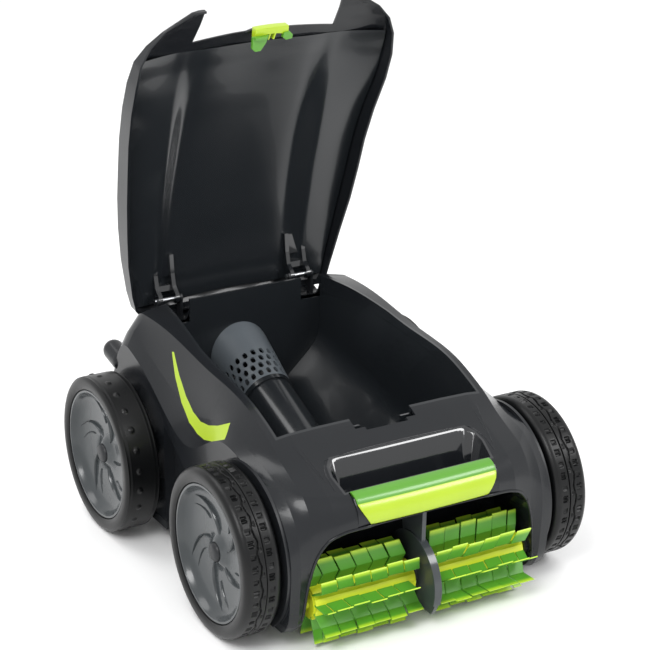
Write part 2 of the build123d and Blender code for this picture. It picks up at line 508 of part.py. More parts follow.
socket = Cylinder(15.5, 4) + Pos(0, 0, -8) * Cylinder(12.8, 14) - Cylinder(4, 60)
socket = Pos(socket_x, 217.5, socket_z) * Rot(-90, 0, 0) * socket
export("cable_socket", socket - hull + (socket & socket_hole))

LATCH_Y, LATCH_Z = -139.0, 213.0
latch_button = [(-141, 214), (-139, 217), (-148, 222), (-154, 217), (-156, 208), (-152.5, 204), (-147, 209)]

# ---- lid, designed shut -------------------------------------------------------------------------------------
lid_void = lid_solid(2.6)
notch = extrude(make_face([Line((-90, -140, 150), (-84, -230, 150)), Line((-84, -230, 150), (84, -230, 150)),
                           Line((84, -230, 150), (90, -140, 150)), ThreePointArc((90, -140, 150), (0, -146, 150),
                                                                                 (-90, -140, 150))]), amount=150,
                dir=(0, 0, 1))
lid = lid_solid() - lid_void
knuckle_cuts = [block(s * HINGE_X - 18, s * HINGE_X + 18, 188, 240, 236, 258) for s in (-1, 1)]
lid = lid - notch - yz_prism(inset(latch_button, -0.5), -22.6, 22.6) - Compound(children=knuckle_cuts)
for arm in arms.values():
    lid -= arm
lid = max(lid.solids(), key=lambda solid: solid.volume)
export("lid_shell", opened(lid))

liner = lid_liner_sheet() & lid_void
liner = liner - block(-92, 92, -230, -134.5, 150, 330) - x_rod(-24, 24, LATCH_Y, LATCH_Z, 6)
for arm in arms.values():
    liner -= arm
liner = max(liner.solids(), key=lambda solid: solid.volume)
export("lid_liner", opened(liner))
for side, arm in arms.items():
    export(f"{side}_hinge_arm", opened(arm))

# ---- latch --------------------------------------------------------------------------------------------------
lever = x_rod(-22, 22, LATCH_Y, LATCH_Z, 3.4) + yz_prism(latch_button, -22, 22)
for x0, x1, foot in ((-20, -11, 190), (12, 18, 197)):
    lever += yz_prism([(-143, 212), (-137, 212), (-137.5, foot), (-142, foot - 2), (-145, foot + 3), (-141.5, foot + 5)],
                      x0, x1)
export("latch_lever", opened(lever))
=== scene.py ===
import json
import math

import bmesh
import bpy
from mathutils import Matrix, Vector
from mathutils.bvhtree import BVHTree


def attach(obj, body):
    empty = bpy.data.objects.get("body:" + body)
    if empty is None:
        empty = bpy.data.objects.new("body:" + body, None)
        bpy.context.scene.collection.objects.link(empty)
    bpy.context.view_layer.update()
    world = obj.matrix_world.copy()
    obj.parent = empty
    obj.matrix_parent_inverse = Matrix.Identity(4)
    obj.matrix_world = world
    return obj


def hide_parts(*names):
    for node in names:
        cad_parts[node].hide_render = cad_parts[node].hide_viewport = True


# Looks for the four-wheeled pool cleaner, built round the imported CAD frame. Metres, +Z up, brush towards -Y.
# Tables and outlines marked "mm" are in the CAD design frame, whose y = 0 is half way between the axles.

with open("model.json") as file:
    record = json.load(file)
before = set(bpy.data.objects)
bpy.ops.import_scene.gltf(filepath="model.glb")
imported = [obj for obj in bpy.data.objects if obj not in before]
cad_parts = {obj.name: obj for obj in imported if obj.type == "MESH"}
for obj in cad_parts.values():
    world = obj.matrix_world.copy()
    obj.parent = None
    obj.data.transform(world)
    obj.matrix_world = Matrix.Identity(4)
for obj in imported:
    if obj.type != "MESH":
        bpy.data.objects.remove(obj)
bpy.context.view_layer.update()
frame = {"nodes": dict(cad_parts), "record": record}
NODES = frame["nodes"]

SHIFT = 0.0145  # from the design frame's y = 0 to the frame's origin
AXLE_Z, WHEEL_R = 0.094, 0.094
FRONT_Y, REAR_Y = -0.145 + SHIFT, 0.145 + SHIFT
BRUSH_Y, BRUSH_Z = -0.217 + SHIFT, 0.0485
WHEELS = {"front_left": (-1, FRONT_Y), "front_right": (1, FRONT_Y), "rear_left": (-1, REAR_Y),
          "rear_right": (1, REAR_Y)}
SIDES = (("left", -1), ("right", 1))
TYRE_OUT, TYRE_IN = 0.215, 0.172  # the tyre's outer and inner faces, from the middle of the machine
HINGE_Y, HINGE_Z, LID_OPEN = 199, 247, 80  # mm, mm and degrees


# ---- materials ----------------------------------------------------------------------------------------------
def colour(r, g, b):
    """Linear colour from 0..255 sRGB."""
    return tuple(c / 255 / 12.92 if c <= 10 else ((c / 255 + 0.055) / 1.055) ** 2.4 for c in (r, g, b)) + (1.0,)


def plastic(name, rgb, rough=0.3, coat=0.0, grain=900.0, bump=0.02, spread=0.05, specular=0.5, worn=0.06):
    """Moulded plastic or rubber: a faint colour drift, a fine grain and uneven gloss, all procedural."""
    m = bpy.data.materials.new(name)
    m.use_nodes = True
    nt = m.node_tree
    bsdf = nt.nodes["Principled BSDF"]
    bsdf.inputs["Specular IOR Level"].default_value = specular
    bsdf.inputs["Coat Weight"].default_value = coat
    bsdf.inputs["Coat Roughness"].default_value = 0.06
    at = nt.nodes.new("ShaderNodeTexCoord")
    cloud = nt.nodes.new("ShaderNodeTexNoise")
    cloud.inputs["Scale"].default_value = 22.0
    cloud.inputs["Detail"].default_value = 4.0
    fine = nt.nodes.new("ShaderNodeTexNoise")
    fine.inputs["Scale"].default_value = grain
    fine.inputs["Detail"].default_value = 2.0
    nt.links.new(at.outputs["Object"], cloud.inputs["Vector"])
    nt.links.new(at.outputs["Object"], fine.inputs["Vector"])
    tint = nt.nodes.new("ShaderNodeMix")
    tint.data_type = "RGBA"
    base = colour(*rgb)
    tint.inputs[6].default_value = tuple(c * (1 - worn) for c in base[:3]) + (1.0,)
    tint.inputs[7].default_value = tuple(min(1.0, c * (1 + worn)) for c in base[:3]) + (1.0,)
    nt.links.new(cloud.outputs["Fac"], tint.inputs[0])
    nt.links.new(tint.outputs[2], bsdf.inputs["Base Color"])
    gloss = nt.nodes.new("ShaderNodeMapRange")
    gloss.inputs["To Min"].default_value = rough - spread / 2
    gloss.inputs["To Max"].default_value = rough + spread / 2
    nt.links.new(cloud.outputs["Fac"], gloss.inputs["Value"])
    nt.links.new(gloss.outputs["Result"], bsdf.inputs["Roughness"])
    relief = nt.nodes.new("ShaderNodeBump")
    relief.inputs["Strength"].default_value = bump
    relief.inputs["Distance"].default_value = 0.0004
    nt.links.new(fine.outputs["Fac"], relief.inputs["Height"])
    nt.links.new(relief.outputs["Normal"], bsdf.inputs["Normal"])
    return m


charcoal = plastic("charcoal_gloss", (25, 27, 30), rough=0.24, coat=0.12, bump=0.04, grain=1400, specular=0.26)
satin = plastic("charcoal_satin", (26, 28, 31), rough=0.4, bump=0.12, grain=1800, specular=0.4)
inner = plastic("dark_inner", (27, 30, 33), rough=0.24, coat=0.25, bump=0.02)
pocket_gloss = plastic("pocket_gloss", (24, 26, 29), rough=0.09, coat=0.6, bump=0.0)
green = plastic("green_grip", (80, 142, 36), rough=0.3, coat=0.2)
lime = plastic("lime_trim", (164, 190, 34), rough=0.3, coat=0.2)
tyre_rubber = plastic("tyre_black", (10, 11, 12), rough=0.34, bump=0.15, grain=1500, spread=0.1, worn=0.12,
                      specular=0.28)
smoke = plastic("smoke_grey", (58, 62, 64), rough=0.2, coat=0.15, bump=0.01, specular=0.4)
guard_grey = plastic("guard_grey", (84, 90, 95), rough=0.36, bump=0.08, grain=1800)
flap_rubber = plastic("brush_rubber", (82, 150, 42), rough=0.4, bump=0.12, grain=1300, spread=0.1, worn=0.1)


def tip_gradient(m, y0, z0, near, far, tip_rgb):
    """Lets the colour run to another one between two distances from an axis along X."""
    nt = m.node_tree
    at = nt.nodes.new("ShaderNodeTexCoord")
    shift = nt.nodes.new("ShaderNodeVectorMath")
    shift.operation = "SUBTRACT"
    shift.inputs[1].default_value = (0.0, y0, z0)
    flat = nt.nodes.new("ShaderNodeVectorMath")
    flat.operation = "MULTIPLY"
    flat.inputs[1].default_value = (0.0, 1.0, 1.0)
    size = nt.nodes.new("ShaderNodeVectorMath")
    size.operation = "LENGTH"
    ramp = nt.nodes.new("ShaderNodeMapRange")
    ramp.interpolation_type = "SMOOTHSTEP"
    ramp.inputs["From Min"].default_value, ramp.inputs["From Max"].default_value = near, far
    mix = nt.nodes.new("ShaderNodeMix")
    mix.data_type = "RGBA"
    mix.inputs[7].default_value = colour(*tip_rgb)
    bsdf = nt.nodes["Principled BSDF"]
    base = bsdf.inputs["Base Color"].links[0].from_socket
    nt.links.new(at.outputs["Object"], shift.inputs[0])
    nt.links.new(shift.outputs[0], flat.inputs[0])
    nt.links.new(flat.outputs[0], size.inputs[0])
    nt.links.new(size.outputs["Value"], ramp.inputs["Value"])
    nt.links.new(ramp.outputs["Result"], mix.inputs[0])
    nt.links.new(base, mix.inputs[6])
    nt.links.new(mix.outputs[2], bsdf.inputs["Base Color"])


tip_gradient(flap_rubber, BRUSH_Y, BRUSH_Z, 0.0405, 0.0468, (182, 216, 52))
core_lime = plastic("core_lime", (202, 212, 40), rough=0.35)
belt_rubber = plastic("belt_rubber", (25, 25, 26), rough=0.6)
motor_black = plastic("motor_black", (30, 31, 33), rough=0.4)


def brushed(name, rgb, rough):
    m = plastic(name, rgb, rough=rough, grain=500, bump=0.1, worn=0.04)
    m.node_tree.nodes["Principled BSDF"].inputs["Metallic"].default_value = 1.0
    return m


steel = brushed("steel", (170, 172, 175), 0.3)
BY_SLOT = {"charcoal_gloss": charcoal, "charcoal_satin": satin, "dark_inner": inner, "green_grip": green,
           "lime_trim": lime, "tyre_black": tyre_rubber, "smoke_grey": smoke, "guard_grey": guard_grey,
           "brush_rubber": flap_rubber, "core_lime": core_lime, "steel": steel, "belt_rubber": belt_rubber,
           "motor_black": motor_black}
SLOT_OF = {part["node"]: part["material_slot"] for part in frame["record"]["subparts"]}


for name, obj in NODES.items():
    obj.data.materials.clear()
    special = {"handle_pocket": pocket_gloss, "propeller": motor_black, "left_hinge_arm": pocket_gloss,
               "right_hinge_arm": pocket_gloss, "outlet_grille": motor_black}
    obj.data.materials.append(special.get(name) or BY_SLOT[SLOT_OF[name]])


# ---- pieces -------------------------------------------------------------------------------------------------
def make_piece(name, verts, faces, material, body, replaced=(), smooth=35.0, weld=True, bevel=0.0):
    """A closed mesh piece riding on a CAD body, standing for the CAD nodes it replaces; smooth in degrees."""
    mesh = bpy.data.meshes.new(name)
    mesh.from_pydata([tuple(v) for v in verts], [], faces)
    bm = bmesh.new()
    bm.from_mesh(mesh)
    if weld:
        bmesh.ops.remove_doubles(bm, verts=bm.verts, dist=1e-5)
    bmesh.ops.recalc_face_normals(bm, faces=bm.faces)
    if bevel:
        edges = [e for e in bm.edges if len(e.link_faces) == 2 and e.calc_face_angle() > math.radians(38)]
        bmesh.ops.bevel(bm, geom=edges, offset=bevel, segments=2, profile=0.7, affect="EDGES",
                        clamp_overlap=True)
    bm.to_mesh(mesh)
    bm.free()
    mesh.shade_smooth()
    mesh.set_sharp_from_angle(angle=math.radians(smooth))
    obj = bpy.data.objects.new(name, mesh)
    bpy.context.scene.collection.objects.link(obj)
    mesh.materials.append(material)
    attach(obj, body)
    if replaced:
        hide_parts(*replaced)
    return obj


def lathe(profile, segments, place, relief=None):
    """Closed ring of revolution about X. profile is a closed loop of (x, r). relief(i, j) adds to the radius of
    loop point i at segment j."""
    verts, faces, n = [], [], len(profile)
    for j in range(segments):
        a = 2 * math.pi * j / segments
        for i, (x, r) in enumerate(profile):
            r = r + (relief(i, j) if relief else 0.0)
            verts.append(place(x, r * math.cos(a), r * math.sin(a)))
    for j in range(segments):
        k = (j + 1) % segments
        for i in range(n):
            m = (i + 1) % n
            faces.append((j * n + i, k * n + i, k * n + m, j * n + m))
    return verts, faces


def smooth_step(t):
    t = max(0.0, min(1.0, t))
    return t * t * (3 - 2 * t)


def dent(distance, half_width, edge):
    """1 inside a groove, falling to 0 over its edge."""
    return 1.0 - smooth_step((abs(distance) - half_width) / edge)


TREAD_N, PITCHES, PER_PITCH = 56, 22, 26  # steps across the tread, pitches round it and steps in a pitch
NUBS, PER_NUB, NUB_R = 24, 18, 0.0042  # nubs round a rear tyre, steps for each and their radius


def tread_height(u, v):
    """Front tyre relief in metres at u across the tread (0 outside, 1 inside) and v along one pitch."""
    depth = 0.0
    wave = 0.36 + 0.045 * math.sin(2 * math.pi * v) * (1 + 0.3 * math.sin(4 * math.pi * v))
    depth = max(depth, 0.0022 * dent(u - wave, 0.022, 0.03))
    depth = max(depth, 0.0016 * dent(u - 0.60, 0.012, 0.02))
    for start, end, at in ((0.02, 0.26, 0.18), (0.02, 0.26, 0.34), (0.70, 0.95, 0.62), (0.70, 0.95, 0.78)):
        across = dent(u - (start + end) / 2, (end - start) / 2 - 0.02, 0.03)
        depth = max(depth, 0.0022 * across * dent(v - at, 0.030, 0.035))
    across = dent(u - 0.13, 0.09, 0.03)
    depth = max(depth, 0.0018 * across * dent(v - 0.78, 0.07, 0.04))
    depth = max(depth, 0.0018 * dent(u - 0.83, 0.09, 0.03) * dent(v - 0.22, 0.07, 0.04))
    depth = max(depth, 0.0014 * dent(u - 0.48, 0.04, 0.02) * dent(v - 0.5, 0.05, 0.05))
    return -depth


def tyre(name, s, y0, front):
    """Treaded front tyre, or a nearly smooth rear tyre with a ring of nubs."""
    outer, inner = TYRE_OUT, TYRE_IN
    r, fillet, bead = WHEEL_R, 0.0080, 0.0775
    profile, tread = [], {}
    steps = 7
    profile.append((outer - 0.002, bead))
    profile.append((outer - 0.0005, bead + 0.002))
    profile.append((outer, bead + 0.006))
    for i in range(steps + 1):
        a = math.pi / 2 * i / steps
        profile.append((outer - fillet + fillet * math.cos(a), r - fillet + fillet * math.sin(a)))
    first = len(profile)
    for i in range(1, TREAD_N):
        u = i / TREAD_N
        tread[len(profile)] = u
        profile.append((outer - fillet - (outer - inner - 2 * fillet) * u, r))
    for i in range(steps + 1):
        a = math.pi / 2 * (1 - i / steps)
        profile.append((inner + fillet - fillet * math.cos(a), r - fillet + fillet * math.sin(a)))
    profile += [(inner, bead + 0.006), (inner + 0.0005, bead + 0.002), (inner + 0.002, bead)]
    segments = PITCHES * PER_PITCH if front else NUBS * PER_NUB

    def relief(i, j):
        if i not in tread:
            return 0.0
        if front:
            return tread_height(tread[i], (j % PER_PITCH) / PER_PITCH)
        v, u = (j % PER_NUB) / PER_NUB - 0.5, tread[i]
        d = math.hypot(v * 2 * math.pi * r / NUBS, (u - 0.3) * (outer - inner - 2 * fillet))
        return -0.0014 if d > NUB_R else -0.0014 + 0.0013 * smooth_step((NUB_R - d) / 0.0028)

    if not front:
        profile = [(x, rr - (0.0013 if rr > r - 0.0012 and i not in tread else 0))
                   for i, (x, rr) in enumerate(profile)]
    verts, faces = lathe(profile, segments, lambda x, y, z: (s * x, y0 + y, AXLE_Z + z), relief)
    make_piece(f"{name}_tyre_tread", verts, faces, tyre_rubber, f"{name}_wheel",
               [f"{name}_tyre"], 50)


def wheel_disc(name, s, y0):
    """Dished disc with a rolled lip, swirling ribs and a small domed hub."""
    outer = TYRE_OUT
    front_side = [(0.0045, 0.0774), (0.0025, 0.0762), (0.0025, 0.0738), (0.005, 0.0722), (0.0085, 0.0708),
                  (0.0130, 0.0672), (0.0158, 0.0600), (0.0172, 0.0500), (0.0180, 0.0380), (0.0182, 0.0260),
                  (0.0172, 0.0185), (0.0135, 0.0140), (0.0118, 0.0105)]
    back_side = [(0.0165, 0.0105), (0.0205, 0.0185), (0.0212, 0.026), (0.0208, 0.050), (0.0195, 0.060),
                 (0.0175, 0.0680), (0.0360, 0.0725), (0.0395, 0.0774)]
    loop = [(outer - depth, r) for depth, r in front_side + back_side]
    verts, faces = lathe(loop, 96, lambda x, y, z: (s * x, y0 + y, AXLE_Z + z))
    make_piece(f"{name}_wheel_disc", verts, faces, smoke, f"{name}_wheel", [f"{name}_rim"], 40)

    def rib(start_r, end_r, start_a, sweep, width, low, high):
        n, base = 14, len(rib_verts)
        for i in range(n + 1):
            t = i / n
            rr = start_r + (end_r - start_r) * t
            a = start_a + sweep * t ** 1.3
            half = width * (0.35 + 0.65 * math.sin(math.pi * min(1.0, t * 0.92 + 0.06)))
            rise = low + (high - low) * math.sin(math.pi * min(1.0, 0.12 + 0.84 * t)) ** 0.7 + 0.0042 * t ** 4
            cy, cz, ty, tz = rr * math.cos(a), rr * math.sin(a), -math.sin(a), math.cos(a)
            for off, x in ((-half, -0.0035), (-half * 0.8, rise * 0.75), (0, rise), (half * 0.8, rise * 0.75),
                           (half, -0.0035)):
                rib_verts.append((s * (outer - 0.0180 + x), y0 + cy + off * ty, AXLE_Z + cz + off * tz))
        for i in range(n):
            for k in range(5):
                m = (k + 1) % 5
                row = base + i * 5
                rib_faces.append((row + k, row + m, row + 5 + m, row + 5 + k))
        rib_faces.append(tuple(base + k for k in range(5)))
        rib_faces.append(tuple(base + n * 5 + k for k in reversed(range(5))))

    rib_verts, rib_faces = [], []
    for i in range(5):
        a0 = 2 * math.pi * i / 5 + (0.3 if y0 < 0 else 0.9)
        rib(0.019, 0.0680, a0, 0.80 * s, 0.0015, 0.0004, 0.0036)
        rib(0.036, 0.0680, a0 + 0.62 * s, 0.46 * s, 0.0010, 0.0002, 0.0022)
    make_piece(f"{name}_swirl_ribs", rib_verts, rib_faces, smoke, f"{name}_wheel", (), 50,
               weld=False)

    dome = [(0.0150, 0.0006), (0.0150, 0.0112), (0.0115, 0.0112), (0.0095, 0.0104), (0.0080, 0.0085),
            (0.0072, 0.0058), (0.0070, 0.0006)]
    dome = [(outer - depth, r) for depth, r in dome]
    verts, faces = lathe(dome, 48, lambda x, y, z: (s * x, y0 + y, AXLE_Z + z))
    make_piece(f"{name}_hub_dome", verts, faces, satin, f"{name}_wheel", [f"{name}_hub_cap"], 40)


for wheel, (s, y0) in WHEELS.items():
    tyre(wheel, s, y0, y0 < 0)
    wheel_disc(wheel, s, y0)


# ---- smooth copies of lofted shells -------------------------------------------------------------------------
def soften(name, body, material, angle):
    """The same shell with its section joints shaded as one skin."""
    source = NODES[name]
    bm = bmesh.new()
    bm.from_mesh(source.data)
    bm.transform(source.matrix_world)
    bmesh.ops.remove_doubles(bm, verts=bm.verts, dist=2e-5)
    bmesh.ops.dissolve_degenerate(bm, edges=bm.edges, dist=1e-5)
    verts = [tuple(v.co) for v in bm.verts]
    faces = [tuple(v.index for v in f.verts) for f in bm.faces]
    bm.free()
    make_piece(f"{name}_skin", verts, faces, material, body, [name], angle)


soften("lid_shell", "lid", charcoal, 38)
soften("filter_tub", "hull", inner, 50)
soften("handle_pocket", "hull", pocket_gloss, 65)


# ---- moulded sheets -----------------------------------------------------------------------------------------
def rounded(points, rounds):
    """Corner cutting, keeping the ends of the line."""
    for _ in range(rounds):
        cut = []
        for p, q in zip(points, points[1:]):
            cut += [tuple(0.75 * a + 0.25 * b for a, b in zip(p, q)),
                    tuple(0.25 * a + 0.75 * b for a, b in zip(p, q))]
        points = [points[0]] + cut[1:-1] + [points[-1]]
    return points


def spline(table, at):
    """Smooth values between the rows of a table whose first column falls."""
    for i in range(len(table) - 1):
        if table[i][0] >= at >= table[i + 1][0]:
            break
    p0, p1, p2, p3 = table[max(i - 1, 0)], table[i], table[i + 1], table[min(i + 2, len(table) - 1)]
    t = (p1[0] - at) / (p1[0] - p2[0])
    row = []
    for a, b, c, d in zip(p0[1:], p1[1:], p2[1:], p3[1:]):
        row.append(0.5 * (2 * b + (c - a) * t + (2 * a - 5 * b + 4 * c - d) * t * t
                          + (3 * b - a - 3 * c + d) * t ** 3))
    return row


def sheet(name, rows, thickness, material, body, replaced=(), angle=50):
    """A closed sheet from rows of points, thickened along a direction given with each point."""
    n, m = len(rows), len(rows[0])
    verts = [p for row in rows for p, _ in row]
    verts += [tuple(a + thickness * b for a, b in zip(p, d)) for row in rows for p, d in row]
    faces = []
    for layer in (0, n * m):
        for i in range(n - 1):
            for j in range(m - 1):
                a = layer + i * m + j
                faces.append((a, a + 1, a + m + 1, a + m) if layer else (a, a + m, a + m + 1, a + 1))
    edge = list(range(m)) + [i * m + m - 1 for i in range(1, n)]
    edge += [(n - 1) * m + j for j in reversed(range(m - 1))] + [i * m for i in reversed(range(1, n - 1))]
    for a, b in zip(edge, edge[1:] + edge[:1]):
        faces.append((a, b, n * m + b, n * m + a))
    return make_piece(name, verts, faces, material, body, replaced, angle)


def opened(x, y, z):
    """Shut-lid millimetres to the open rest pose in metres."""
    a = math.radians(-LID_OPEN)
    dy, dz = y - HINGE_Y, z - HINGE_Z
    return (x / 1000, (HINGE_Y + dy * math.cos(a) - dz * math.sin(a)) / 1000 + SHIFT,
            (HINGE_Z + dy * math.sin(a) + dz * math.cos(a)) / 1000)


# mm: y, half width, shoulder, roof and flange heights of the shut lid's inner panel
LINER = [(208, 130, 262, 261, 257), (188, 135, 266, 266, 260), (145, 143, 268, 272, 261),
         (101, 149, 267, 273, 259), (61, 153, 264, 271, 256), (19, 156, 259, 266, 250),
         (-22, 160, 251, 258, 244), (-66, 164, 238, 246, 238),
         (-100, 164, 229, 237, 234), (-128, 161, 220, 228, 227)]


def liner_height(x, w, shoulder, roof, flange):
    """Height of the inner panel at x: a gently dished roof, a soft step down and a flange that droops."""
    x = abs(x)
    dish = 1.6 * math.cos(math.pi * x / 80) if x < 80 else -1.6 * max(0.0, 1 - (x - 80) / 8)
    if x < 102:
        step, fade = 1 - smooth_step((x - 74) / 28), 1 - smooth_step((x - 60) / 40)
        return flange + (roof - flange) * step + dish * fade
    return flange + (shoulder - 6.5 - flange) * ((x - 102) / (w - 5 - 102)) ** 1.4


rows = []
for i in range(85):
    y = 207.8 - 335.6 * i / 84
    w, shoulder, roof, flange = spline(LINER, y)
    row = []
    for j in range(97):
        x = (w - 5) * (2 * j / 96 - 1)
        z = liner_height(x, w, shoulder, roof, flange)
        tip, base = opened(x, y, z + 1), opened(x, y, z)
        row.append((base, tuple((a - b) * 1000 for a, b in zip(tip, base))))
    rows.append(row)
sheet("lid_liner_skin", rows, 0.0021, inner, "lid", ["lid_liner"])

# mm: y, half width and height near the rim, at the shoulder and at the foot of the tub's sloping sides
TUB_SIDE = [(168, 102.0, 232, 99.5, 171, 44, 120), (104, 113.0, 236, 105.5, 150, 44, 96),
            (44, 121.0, 232, 111.5, 132, 46, 82), (-60, 125.0, 220, 116.5, 112, 50, 76),
            (-142, 125.6, 190, 120.5, 104, 60, 74)]


def tub_side(side, s):
    """A skin that rounds off the tub's side wall and slope, and keeps clear of the inlet flap."""
    rows = []
    for i in range(61):
        y = 167.4 - 308.6 * i / 60
        x_rim, z_rim, x_mid, z_mid, x_foot, z_foot = spline(TUB_SIDE, y)
        if -64 < y < 2:
            t = smooth_step(min(y + 64, 2 - y) / 8)
            z_foot += (z_mid - z_foot) * t * max(0.0, 66 - x_foot) / (x_mid - x_foot)
            x_foot += max(0.0, 66 - x_foot) * t
        line = rounded([(x_rim - 0.6, z_rim), ((x_rim + x_mid) / 2 - 0.6, (z_rim + z_mid) / 2),
                        (x_mid - 0.6, z_mid + 0.4),
                        (x_foot + 0.3 * (x_mid - x_foot), z_foot + 0.3 * (z_mid - z_foot) + 0.6),
                        (x_foot, z_foot + 0.6)], 4)
        rows.append([((s * x / 1000, y / 1000 + SHIFT, z / 1000), (0.8 * s, 0.0, -0.6)) for x, z in line])
    sheet(f"{side}_tub_side", rows, 0.0008, inner, "hull", (), 60)


for side, s in SIDES:
    tub_side(side, s)


# ---- brush --------------------------------------------------------------------------------------------------
def brush_half(side, s):
    """Rows of creased rubber flaps on a ribbed sleeve; each folds back along its middle and slants sideways."""
    verts, faces = [], []
    rows, count, pitch, first = 9, 6, 0.0206, 0.0098
    path = [(0.0165, -0.0018, 0.0), (0.0310, 0.0034, 0.0032), (0.0320, 0.0036, 0.0034),
            (0.0330, 0.0033, 0.0032), (0.0466, -0.0034, -0.0012)]
    thick = [0.0013, 0.0009, 0.0009, 0.0009, 0.0007]

    def spin(r, t, a):
        return BRUSH_Y + r * math.cos(a) - t * math.sin(a), BRUSH_Z + r * math.sin(a) + t * math.cos(a)

    for row in range(rows):
        shift = 0.0 if row % 2 else pitch * 0.4
        for i in range(count):
            lean = math.radians(40 * row + 14 + 1.5 * math.sin(2.1 * i + row))
            x0 = first + pitch * i + shift
            x1 = min(x0 + pitch - 0.0013, 0.1322)
            base = len(verts)
            for k, (r, t, side_step) in enumerate(path):
                r -= 0.0012 if k == len(path) - 1 and (i + row) % 2 else 0.0
                for x, edge in ((x0, 0), (x0 + 0.0006, 1), (x1 - 0.0006, 1), (x1, 0)):
                    half = thick[k] * (1.0 if edge else 0.5)
                    x = max(0.0085, min(0.1322, x - side_step))
                    for sign in (1, -1):
                        verts.append((s * x, *spin(r, t + sign * half, lean)))
            ring = [0, 2, 4, 6, 7, 5, 3, 1]
            for k in range(len(path) - 1):
                for n in range(8):
                    m = (n + 1) % 8
                    faces.append((base + 8 * k + ring[n], base + 8 * k + ring[m], base + 8 * k + 8 + ring[m],
                                  base + 8 * k + 8 + ring[n]))
            faces.append(tuple(base + n for n in reversed(ring)))
            faces.append(tuple(base + 8 * (len(path) - 1) + n for n in ring))
    make_piece(f"{side}_brush_flaps", verts, faces, flap_rubber, f"{side}_brush",
               [f"{side}_brush_blades"], 14, weld=False)
    n = 72
    loop = [(0.0082, 0.0162), (0.0082, 0.0186), (0.0090, 0.0194), (0.1305, 0.0194), (0.1315, 0.0186),
            (0.1315, 0.0162)]
    verts, faces = lathe(loop, n, lambda x, y, z: (s * x, BRUSH_Y + y, BRUSH_Z + z),
                         lambda i, j: -0.0016 if loop[i][1] > 0.019 and (j % 8) in (3, 4, 5) else 0.0)
    make_piece(f"{side}_brush_sleeve", verts, faces, core_lime, f"{side}_brush", (), 40)


for side, s in SIDES:
    brush_half(side, s)


# ---- details ------------------------------------------------------------------------------------------------
def surface_of(*names):
    """Ray caster over CAD nodes at rest."""
    verts, polygons = [], []
    for name in names:
        obj, base = NODES[name], len(verts)
        verts += [obj.matrix_world @ v.co for v in obj.data.vertices]
        polygons += [tuple(base + i for i in p.vertices) for p in obj.data.polygons]
    return BVHTree.FromPolygons(verts, polygons)


def bead(name, line, radius, material, slot, body="hull", sides=8, sink=0.35):
    """A thin raised line along points, with rounded-off ends."""
    verts, faces, n = [], [], len(line)
    line = [Vector(p) for p in line]
    for i, p in enumerate(line):
        ahead = (line[min(i + 1, n - 1)] - line[max(i - 1, 0)]).normalized()
        up = Vector((0, 0, 1)) if abs(ahead.z) < 0.85 else Vector((0, -1, 0))
        u = ahead.cross(up).normalized()
        v = u.cross(ahead).normalized()
        r = radius * (0.35 if i in (0, n - 1) else 1.0)
        for k in range(sides):
            a = 2 * math.pi * k / sides
            verts.append(p + u * r * math.cos(a) + v * (r * math.sin(a) - radius * sink))
    for i in range(n - 1):
        for k in range(sides):
            m = (k + 1) % sides
            faces.append((i * sides + k, i * sides + m, (i + 1) * sides + m, (i + 1) * sides + k))
    faces.append(tuple(reversed(range(sides))))
    faces.append(tuple((n - 1) * sides + k for k in range(sides)))
    return make_piece(name, verts, faces, material, body, (), 50, weld=False)


def draped(tree, plan, step=0.003):
    """A plan line (x, y) laid on a surface from above."""
    line = []
    for (ax, ay), (bx, by) in zip(plan, plan[1:]):
        n = max(1, int(math.hypot(bx - ax, by - ay) / step))
        for i in range(n):
            t = i / n
            x, y = ax + (bx - ax) * t, ay + (by - ay) * t
            hit = tree.ray_cast(Vector((x, y, 0.4)), Vector((0, 0, -1)))[0]
            if hit is not None:
                line.append(hit)
    return line


def section_loft(name, section, stations, warp, material, replaced, body="hull", bevel=0.0006):
    """A closed (y, z) section carried through x stations and then warped."""
    verts, faces, n = [], [], len(section)
    for x in stations:
        verts += [warp(x, y, z) for y, z in section]
    for i in range(len(stations) - 1):
        for k in range(n):
            m = (k + 1) % n
            faces.append((i * n + k, i * n + m, (i + 1) * n + m, (i + 1) * n + k))
    faces.append(tuple(reversed(range(n))))
    faces.append(tuple((len(stations) - 1) * n + k for k in range(n)))
    return make_piece(name, verts, faces, material, body, replaced, 40, bevel=bevel)


def handle_warp(x, y, z):
    """Narrows the grip towards its lower edge and bows it a little forward in the middle."""
    t = max(0.0, min(1.0, (163 - z) / 25))
    bow = 1.2 * (1 - (x / 86.5) ** 2) if y < -233 else 0.0
    return x * (1 - 0.17 * t ** 1.2) / 1000, (y - bow) / 1000 + SHIFT, z / 1000


